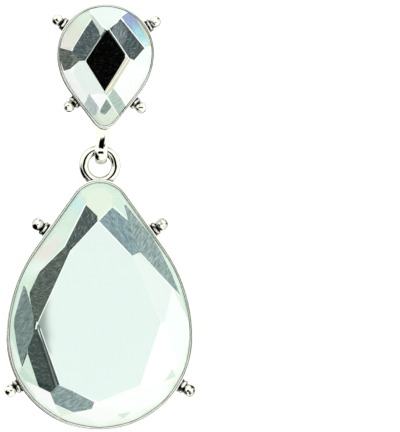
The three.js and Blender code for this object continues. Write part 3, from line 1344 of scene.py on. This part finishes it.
@dataclass(frozen=True)
class EarPin:
    """The plain disc and pin behind the stud, with a keeper groove."""

    diameter: float = 0.85 * MM
    length: float = 11 * MM
    disc: float = 3.2 * MM
    disc_thickness: float = 0.5 * MM
    groove_from_end: float = 2 * MM
    groove_width: float = 0.8 * MM
    groove_depth: float = 0.12 * MM
    weld: tuple[Pair, ...] = ((0.15 * MM, 0.0), (0.04 * MM, 0.05 * MM), (0.0, 0.16 * MM))
    gap: float = 0.1 * MM
    sides: int = 48
    round_steps: int = 8
    crease: float = 40

    def build(self, metal: bpy.types.Material) -> bpy.types.Object:
        """Builds the pin along +y from the origin.

        Args:
            metal: The pin's material.

        Returns:
            The finished object.
        """
        radius, disc = self.diameter / 2, self.disc / 2
        back = self.gap + self.disc_thickness
        soft = self.disc_thickness / 2
        front_edge = soft / 4
        groove_top = self.length - self.groove_from_end
        groove_foot = groove_top - self.groove_width
        profile = [
            (0.0, self.gap), (disc - front_edge, self.gap), (disc, self.gap + front_edge)]
        for i in range(self.round_steps + 1):
            turn = math.pi / 2 * i / self.round_steps
            profile.append((disc - soft + soft * math.cos(turn), back - soft + soft * math.sin(turn)))
        profile += [(radius + wide, back + high) for wide, high in self.weld]
        profile += [
            (radius, groove_foot),
            (radius - self.groove_depth, groove_foot + self.groove_depth),
            (radius - self.groove_depth, groove_top - self.groove_depth), (radius, groove_top),
        ]
        for i in range(self.round_steps):
            turn = math.pi / 2 * i / self.round_steps
            profile.append((radius * math.cos(turn), self.length - radius * (1 - math.sin(turn))))
        profile.append((0.0, self.length))
        mesh = mesh_of("ear_pin", turned(profile, self.sides), metal)
        smooth(mesh, self.crease)
        return add_piece(mesh, "ear_post", Body.STUD)


@dataclass(frozen=True)
class Jewel:
    """One jewel: a cup with its prongs, its hanger and its stone, placed in the frame."""

    name: str
    body: Body
    setting_node: str
    stone_node: str
    stone_slot: Slot
    outline: Teardrop
    cup: Cup
    stone: Stone
    prongs: BallProngs
    hanger: HangRing | HangLoop
    place: Matrix
    finishes: Finishes

    def build(self) -> list[bpy.types.Object]:
        """Builds every piece of the jewel.

        Returns:
            The finished objects.
        """
        cup = mesh_of(
            self.name + "_cup",
            self.cup.build(self.outline, self.stone.girdle_sink, self.stone.tilt),
            self.finishes.cup)
        smooth(cup, self.cup.crease)
        made = [(cup, self.setting_node, Slot.METAL)]
        for part, maker, silver in (("prongs", self.prongs, self.finishes.prongs),
                                    ("hanger", self.hanger, self.finishes.hanger)):
            mesh = maker.build(f"{self.name}_{part}", self.outline, self.cup, silver)
            made.append((mesh, self.setting_node, Slot.METAL))
        gem = mesh_of(
            self.name + "_gem", self.stone.build(self.outline, self.cup, self.place),
            self.finishes.glass)
        made.append((gem, self.stone_node, self.stone_slot))
        for mesh, *_ in made:
            mesh.transform(self.place)
        return [add_piece(mesh, node, self.body) for mesh, node, slot in made]


DROP_CROWN = Crown(
    corners=(
        (-0.01, 0.732), (-0.305, 0.566), (-0.652, 0.09), (-0.458, -0.506),
        (-0.01, -0.69), (0.43, -0.515), (0.65, 0.09), (0.335, 0.53),
    ),
    table=Tone.TABLE,
    wall=Tone.LEAF,
    facets=(
        *edge_facets(17, Tone.MINT, Tone.MINT, Tone.MINT, Tone.SNOW, Tone.SNOW, Tone.SNOW,
                     Tone.MILK, Tone.TABLE),
        *corner_facets(
            (23, Tone.LIME, 90, 0.05), (34, Tone.MINT, 144.7, 0.18),
            (34, Tone.MINT, 177.4, 0.15), (34, Tone.SNOW, 228, 0.15),
            (33, Tone.SNOW, 270, 0.1), (34, Tone.SNOW, -48, 0.15),
            (34, Tone.FROST, 2.6, 0.15), (34, Tone.MINT, 35.3, 0.18)),
        *girdle_facets(56, (35.5, Tone.LEAF), (144.5, Tone.MINT)),
        *girdle_facets(46, (90, Tone.LEAF), (62, Tone.MINT), (118, Tone.LEAF)),
        *girdle_facets(
            52, (14, Tone.LEAF), (166, Tone.LEAF), (-10, Tone.DEW), (190, Tone.FERN),
            (-32, Tone.DEW), (212, Tone.FERN), (-56, Tone.DEW), (236, Tone.DEW),
            (-79, Tone.DEW), (259, Tone.DEW)),
    ),
    patches=(
        Patch(((-8.25, -23.2), (-8, -23.4), (-6.95, -26.9), (-7, -28.1), (-7.85, -29.9),
               (-8.4, -31.4), (-8.9, -29.2), (-9.18, -27.2), (-9.1, -26.2),
               (-8.65, -24.7)), Tone.PEWTER),
        Patch(((-4.1, -19.4), (-3.52, -19.7), (-6.75, -26.83), (-7.1, -26.88), (-7.6, -24.4),
               (-7.6, -23.9), (-6.6, -21.85)), Tone.GRAPHITE),
        Patch(((-1.97, -15.2), (-0.84, -16.3), (-0.82, -16.83), (-3.48, -19.7),
               (-4.14, -19.5)), Tone.CHARCOAL),
        Patch(((-7.9, -29.8), (-6.55, -33.45), (-8, -32.77), (-8.7, -31.9),
               (-8.4, -31.33)), Tone.MINT),
        Patch(((-7.17, -26.7), (-6.8, -26.7), (-6.75, -28.1), (-7.2, -28.1)), Tone.IRON),
        Patch(((-7.17, -28), (-6.75, -27.8), (-4.65, -33.1), (-5.1, -33.65), (-5.55, -33.9),
               (-6.6, -33.4), (-6.75, -33.2), (-7.8, -30), (-7.77, -29.4)), Tone.IRON),
        Patch(((-5.55, -33.9), (-5, -33.4), (-4.63, -33.1), (-3.35, -33.75), (-1.1, -34.7),
               (-1.15, -34.9), (-1.4, -35.55), (-3.2, -35.9), (-5.1, -35.05)), Tone.TIN),
        Patch(((-6.85, -27.1), (-6.65, -27.1), (-4.6, -33.1), (-4.95, -33.4)), Tone.BAND),
        glint((-6.8, -28.1), (-5.07, -33.4), 0.25, Tone.PITCH),
        glint((-6.64, -27.5), (-4.74, -33.12), 0.12, Tone.IRON),
        glint((-6.98, -27.6), (-6.82, -26.85), 0.14, Tone.SNOW),
        glint((-6.54, -27.5), (-4.57, -33.05), 0.09, Tone.SNOW),
        glint((-6.71, -26.85), (-3.5, -19.76), 0.09, Tone.SNOW),
        glint((-2.01, -15.14), (-4.16, -19.36), 0.1, Tone.SNOW),
        glint((-4.18, -19.4), (-6.63, -21.8), 0.07, Tone.SNOW),
        glint((-0.77, -16.83), (-3.46, -19.74), 0.08, Tone.SNOW),
        glint((-7.86, -29.94), (-8.37, -31.3), 0.12, Tone.PITCH),
        glint((-3.35, -33.75), (-3.37, -34.5), 0.1, Tone.BAND),
        Patch(((-8, -32.75), (-6.65, -33.4), (-5.55, -34), (-5.15, -35), (-4.5, -36.2),
               (-6.4, -34.8), (-7.6, -33.6)), Tone.SNOW),
        Patch(((-5.05, -35.13), (-3.3, -35.93), (-4.45, -36.3)), Tone.FERN),
        Patch(((0.75, -15.33), (-0.65, -16.8), (2.65, -20.26), (3.38, -19.9), (4, -18.2),
               (2.12, -16.67)), Tone.STEEL),
        Patch(((1.83, -15.15), (2.2, -16.65), (3.38, -19.9), (7.47, -24.26), (6.55, -22),
               (5.45, -19.8), (4.6, -18.4), (3.9, -17.5), (2.1, -15.3)), Tone.ZINC),
        glint((-0.71, -16.87), (2.6, -20.32), 0.1, Tone.SNOW),
        glint((3.43, -19.99), (7.4, -24.27), 0.08, Tone.SNOW),
        glint((0.83, -15.34), (2.1, -16.62), 0.07, Tone.SNOW),
        Patch(((5.85, -32.8), (6.65, -31.5), (6.95, -32.3)), Tone.LEAF),
        Patch(((1.14, -36.1), (2.54, -35.8), (1.74, -36.5)), Tone.LEAF),
    ),
    washes=(
        Wash(((-2, -15.15), (-2.7, -14), (-7.6, -20.9), (-9.1, -24.7), (-8.6, -24.5),
              (-6.6, -21.85), (-4.1, -19.4)), Tone.LEAF, (
                  Glow((-2.9, -15.0), (-2.3, -15.9), 0.9, Tone.AQUA),
                  Glow((-3.4, -17.2), (-4.0, -16.8), 1.2, Tone.MINT),
                  Glow((-5.0, -19.4), (-6.4, -20.2), 0.9, Tone.BLUSH),
                  Glow((-6.4, -21.4), (-7.6, -21.8), 0.6, Tone.MILK),
                  Glow((-7.4, -23.0), (-8.6, -23.4), 1.2, Tone.MINT))),
        Wash(((-6.75, -26.85), (-4.6, -22), (-4.2, -23.7), (-4.4, -29.7), (-5.4, -30.9)),
             Tone.TABLE, (
                 Glow((-6.2, -25.0), (-6.6, -26.4), 0.5, Tone.SHADOW),
                 Glow((-6.6, -26.4), (-6.35, -28.2), 0.75, Tone.SHADOW),
                 Glow((-6.35, -28.2), (-5.9, -29.8), 0.4, Tone.SHADOW)),
             pitch=0.2),
    ),
)

STUD_CROWN = Crown(
    corners=((0.006, 0.516), (-0.42, 0.043), (-0.022, -0.47), (0.415, 0.11)),
    # The table's black is a painted dark reflection.
    table=Tone.JET,
    wall=Tone.LEAF,
    facets=(
        *edge_facets(14, Tone.SNOW, Tone.SLATE, Tone.SLATE_LEFT, Tone.MILK),
        *corner_facets(
            (22, Tone.MILK, 90, -0.03), (15, Tone.FROST, 182.5, -0.03),
            (23, Tone.FROST, 274.5, -0.03), (16.5, Tone.MILK, -4, -0.03)),
        Facet(Seat.GIRDLE, 32, 47, Tone.SNOW),
        Facet(Seat.GIRDLE, 149.5, 43, Tone.SNOW),
        Facet(Seat.GIRDLE, -36.5, 33.5, Tone.PEARL),
        Facet(Seat.GIRDLE, 215, 38, Tone.CREAM),
        Facet(Seat.GIRDLE, 5.5, 29, Tone.SNOW, rise=0.36 * MM),
        Facet(Seat.GIRDLE, 176.5, 36, Tone.FROST, rise=0.25 * MM),
        Facet(Seat.GIRDLE, 266.5, 31.5, Tone.FROST, rise=0.17 * MM),
        *girdle_facets(36, (52, Tone.LEAF), (128, Tone.LEAF)),
        Facet(Seat.GIRDLE, 90, 30, Tone.LEAF),
    ),
    patches=(
        Patch(((-1.45, 4), (-1.1, 4.55), (1.2, 4.55), (1.7, 4.1), (1.35, 3.4), (0.2, 2.3),
               (-0.8, 3.2)), Tone.MILK),
        Patch(((-1.45, 3.9), (-0.1, 2.25), (-0.5, 1.65), (-1.4, 3.3)), Tone.ASH),
        Patch(((-1.4, 3.3), (-0.7, 2.2), (-0.53, 1.5), (-2.05, -0.8), (-2.6, -0.83),
               (-3.4, 0.05)), Tone.SLATE_LEFT),
        Patch(((1.45, 3.4), (3.88, 0.45), (2.83, -0.76), (2.35, -0.55), (0.8, 1.7),
               (0.6, 2.2)), Tone.SLATE),
        Patch(((0.6, 2.2), (1, 2.9), (1.45, 3.15), (2.2, 2.2), (1.95, 1.05), (1.5, 0.75),
               (0.8, 1.7)), Tone.SPARK),
        Patch(((-4.58, 0.5), (-3.4, 0.17), (-2.6, -0.8), (-3.6, -1.66), (-4.2, -1.8),
               (-4.57, -0.7)), Tone.FLINT),
        Patch(((2.07, -0.4), (2.47, -0.73), (0.55, -3.8), (-0.12, -4.4), (-0.17, -3.96)), Tone.CREAM),
        Patch(((-1.65, -4.1), (-0.9, -4.1), (-0.15, -3.97), (0.2, -4.4), (-0.62, -5.75)), Tone.SNOW),
        Patch(((-1.65, -4.1), (-0.68, -5.5), (-1.05, -6.3), (-1.4, -6.2), (-2.15, -5.2)), Tone.LEAD),
        Patch(((0.85, -3.35), (1.5, -4.5), (2.15, -5.3), (1.35, -6.33), (0.25, -4.45)), Tone.MIST),
        Patch(((-0.65, -5.8), (0.5, -5.5), (0.75, -5.55), (1.3, -6.3), (0.9, -6.7), (-0.1, -7.4),
               (-0.8, -6.8), (-1.05, -6.3)), Tone.LIME),
        Patch(((0.07, -4.63), (0.57, -5.4), (0.4, -5.65), (-0.07, -6.17), (-0.5, -6.05),
               (-0.57, -5.75)), Tone.TEAL),
        glint((0.15, -4.5), (1.33, -6.35), 0.08, Tone.SNOW),
        glint((0.35, 2.35), (2.13, -0.3), 0.09, Tone.SNOW),
        glint((1.53, 3.43), (3.93, 0.44), 0.1, Tone.SNOW),
        glint((-0.5, 1.55), (-2, -0.75), 0.08, Tone.ASH),
        glint((2.3, -0.55), (0, -4), 0.08, Tone.SNOW),
        glint((3.85, 0.37), (2.85, -0.83), 0.09, Tone.SNOW),
        glint((-1.5, 3.35), (-3.44, 0.2), 0.08, Tone.SNOW),
    ),
    washes=(
        Wash(((1.55, 3.55), (2.5, 4.25), (4.45, 1), (3.9, 0.5)), Tone.SKY, (
            Glow((1.9, 3.9), (2.7, 3.2), 0.75, Tone.LAVENDER),
            Glow((3.3, 1.9), (3.9, 0.9), 0.8, Tone.CYAN),
            Glow((3.8, 0.7), (4.3, 1.2), 0.5, Tone.AQUA))),
        Wash(((-1.65, 4), (-1.45, 3.35), (-3.4, 0.2), (-4.5, 0.55), (-4.55, 1.5), (-4, 2.7),
              (-2.8, 3.8)), Tone.PEARL, (
                  Glow((-1.6, 4.0), (-2.4, 3.6), 0.9, Tone.LEAF),
                  Glow((-3.5, 0.5), (-4.1, 0.9), 0.8, Tone.BLUSH))),
    ),
)

# The stud leans by this many degrees, as it hangs in the photograph.
STUD_LEAN = 1.0
# Stands a jewel that lies on its back up, with its front forward.
STAND_UP = Matrix.Rotation(math.pi / 2, 4, "X")


def drop_place() -> Matrix:
    """Where the drop hangs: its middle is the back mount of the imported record."""
    mount = next(m for m in frame["record"]["mounts"] if m["name"] == "drop_back")
    return Matrix.Translation(Vector(mount["pos_m"])) @ STAND_UP


def stud_place() -> Matrix:
    """How the stud stands: its tip down, leaning a little about the ear post."""
    return STAND_UP @ Matrix.Rotation(math.pi - math.radians(STUD_LEAN), 4, "Z")


def make_stud(finishes: Finishes) -> Jewel:
    """Describes the stud.

    Args:
        finishes: The materials of its parts.

    Returns:
        The stud, not yet built.
    """
    return Jewel(
        name="stud", body=Body.STUD, setting_node="top_setting", stone_node="top_stone",
        stone_slot=Slot.TOP_GLASS,
        outline=Teardrop(bulge=4.9 * MM, side=6.5 * MM, side_angle=38, tip=1.45 * MM),
        cup=Cup(plate=0.6 * MM, height=2.8 * MM, rim=0.3 * MM, rim_round=0.12 * MM,
                back_inset=0.45 * MM, back_bevel=0.7 * MM),
        stone=Stone(girdle_sink=0.6 * MM, girdle=0.45 * MM, crown_height=1.45 * MM, tilt=45,
                    gap=0.02 * MM, crown=STUD_CROWN),
        prongs=BallProngs(
            azimuths=(-33, 38, 142, 213), flank_share=0.28, ball=0.6 * MM,
            ball_reach=0.95 * MM, base=0.68 * MM, base_reach=0.42 * MM, groove=0.11 * MM,
            neck=0.4 * MM),
        hanger=HangLoop(
            top_width=1.55 * MM, foot_width=1.3 * MM, leg_thickness=0.55 * MM,
            foot_thickness=0.9 * MM, in_tip=1.1 * MM, drop=2.71 * MM, slot=0.66 * MM,
            slant=0.31 * MM),
        place=stud_place(), finishes=finishes)


def make_drop(finishes: Finishes) -> Jewel:
    """Describes the drop.

    Args:
        finishes: The materials of its parts.

    Returns:
        The drop, not yet built.
    """
    return Jewel(
        name="drop", body=Body.DROP, setting_node="drop_setting", stone_node="drop_stone",
        stone_slot=Slot.DROP_GLASS,
        outline=Teardrop(bulge=9.35 * MM, side=15.5 * MM, side_angle=35.5, tip=3.2 * MM),
        cup=Cup(plate=0.7 * MM, height=3.3 * MM, rim=0.35 * MM, rim_round=0.14 * MM,
                back_inset=0.9 * MM, back_bevel=1.1 * MM),
        stone=Stone(girdle_sink=0.75 * MM, girdle=0.6 * MM, crown_height=1.95 * MM, tilt=42,
                    gap=0.02 * MM, crown=DROP_CROWN),
        prongs=BallProngs(
            azimuths=(-31, 35.5, 144.5, 211), flank_share=0.3, ball=0.64 * MM,
            ball_reach=1.1 * MM, base=0.72 * MM, base_reach=0.5 * MM, groove=0.12 * MM,
            neck=0.42 * MM),
        hanger=HangRing(wire=1 * MM, hole=2.2 * MM, sunk=0.23 * MM, behind_rim=1.2 * MM),
        place=drop_place(), finishes=finishes)


@dataclass(frozen=True)
class Studio:
    """White light tent with a dark gap round the lens, a pale floor and the camera.

    The tent's marks are the lens's oval in front, a card low at the left and a grey band at
    the rear, with wavy edges. They lie on a ball of radius 1 round the scene, and each pair
    called an edge is the stretch over which a mark fades.
    """

    pixel: float = 0.1 * MM
    frame_width: int = 400
    frame_height: int = 432
    origin_pixel: Pair = (106.0, 53.0)
    distance: float = 1600 * MM
    sensor: float = 36.0
    floor_drop: float = 22 * MM
    floor_half: float = 350 * MM
    tent: float = 1.3
    lens_wide: float = 0.5
    lens_tall: float = 0.2
    lens_edge: Pair = (0.8, 1.25)
    front_edge: Pair = (-0.25, -0.1)
    wobble: float = 0.5
    wobble_scale: float = 2.6
    wobble_detail: float = 2.0
    card_at: Triple = (-0.79, -0.24, -0.56)
    card_edge: Pair = (0.76, 0.84)
    rear_shade: float = 0.6
    rear_edge: Pair = (0.15, 0.5)
    far_edge: Pair = (0.82, 0.95)

    def camera(self) -> None:
        """Sets up the camera square to the earring's front, framed as the photograph."""
        data = bpy.data.cameras.new("camera")
        data.sensor_width = self.sensor
        data.sensor_fit = "AUTO"
        data.lens = self.sensor * self.distance / (self.frame_height * self.pixel)
        made = bpy.data.objects.new("camera", data)
        bpy.context.scene.collection.objects.link(made)
        made.location = (
            (self.frame_width / 2 - self.origin_pixel[0]) * self.pixel,
            -self.distance,
            (self.origin_pixel[1] - self.frame_height / 2) * self.pixel,
        )
        made.rotation_euler = (math.pi / 2, 0.0, 0.0)
        bpy.context.scene.camera = made

    def floor(self) -> None:
        """Lays the floor a little below the hanging earring."""
        level = CAD_BOX[0][2] - self.floor_drop
        half = self.floor_half
        mesh = bpy.data.meshes.new("floor")
        mesh.from_pydata(
            [(-half, -half, level), (half, -half, level), (half, half, level), (-half, half, level)],
            [], [(0, 1, 2, 3)])
        mesh.materials.append(PaleFloor().material())
        floor = add_object("floor", mesh)
        floor.visible_glossy = False

    def tent_light(self) -> None:
        """Lights the scene from all round, with dark shapes that polished metal mirrors."""
        world = bpy.data.worlds.new("light_tent")
        bpy.context.scene.world = world
        world.use_nodes = True
        wiring = Wiring(world.node_tree)
        way = wiring.node("ShaderNodeTexCoord").outputs["Generated"]
        noise = wiring.node("ShaderNodeTexNoise", Vector=way, Scale=self.wobble_scale,
                            Detail=self.wobble_detail).outputs["Color"]
        shift = wiring.vector("MULTIPLY_ADD", noise, (self.wobble,) * 3, (-self.wobble / 2,) * 3)
        moved = wiring.vector("ADD", way, shift)
        axes = wiring.node("ShaderNodeSeparateXYZ", moved).outputs
        depth = wiring.node("ShaderNodeSeparateXYZ", way).outputs["Y"]
        oval = wiring.math("ADD", *(
            wiring.math("POWER", wiring.math("DIVIDE", axes[axis], size), 2.0)
            for axis, size in (("X", self.lens_wide), ("Z", self.lens_tall))))
        aim = wiring.node("ShaderNodeVectorMath", moved, Vector(self.card_at).normalized(),
                          operation="DOT_PRODUCT").outputs["Value"]
        lens, behind, card, rear, far_rear = (
            wiring.ramp(value, span, goal, interpolation_type="SMOOTHSTEP")
            for value, span, goal in (
                (oval, self.lens_edge, (0.0, 1.0)),
                (depth, self.front_edge, (0.0, 1.0)),
                (aim, self.card_edge, (1.0, 0.0)),
                (depth, self.rear_edge, (1.0, self.rear_shade)),
                (depth, self.far_edge, (0.0, 1.0))))
        front = wiring.math("MULTIPLY", wiring.math("MAXIMUM", lens, behind), card)
        shade = wiring.math("MULTIPLY", front, wiring.math("MAXIMUM", rear, far_rear))
        straight = wiring.node("ShaderNodeLightPath").outputs["Is Camera Ray"]
        wiring.fill(world.node_tree.nodes["Background"], Strength=self.tent,
                    Color=wiring.math("MAXIMUM", shade, straight))

    def build(self) -> None:
        """Builds the whole studio."""
        self.camera()
        self.floor()
        self.tent_light()
        bpy.context.scene.view_settings.view_transform = "Standard"


def main() -> None:
    """Builds the studio and the earring."""
    logging.basicConfig(level=logging.INFO, format="%(name)s: %(message)s")
    Studio().build()
    finishes = Finishes(
        cup=PolishedSilver().material(), prongs=WorkedSilver().material(),
        hanger=WireSilver().material(), glass=FoiledGlass().material())
    pieces = [*make_stud(finishes).build(), EarPin().build(finishes.cup),
              *make_drop(finishes).build()]
    for piece in pieces:
        log.info("%s: %d faces", piece.name, len(piece.data.polygons))


if __name__ == "__main__":
    main()
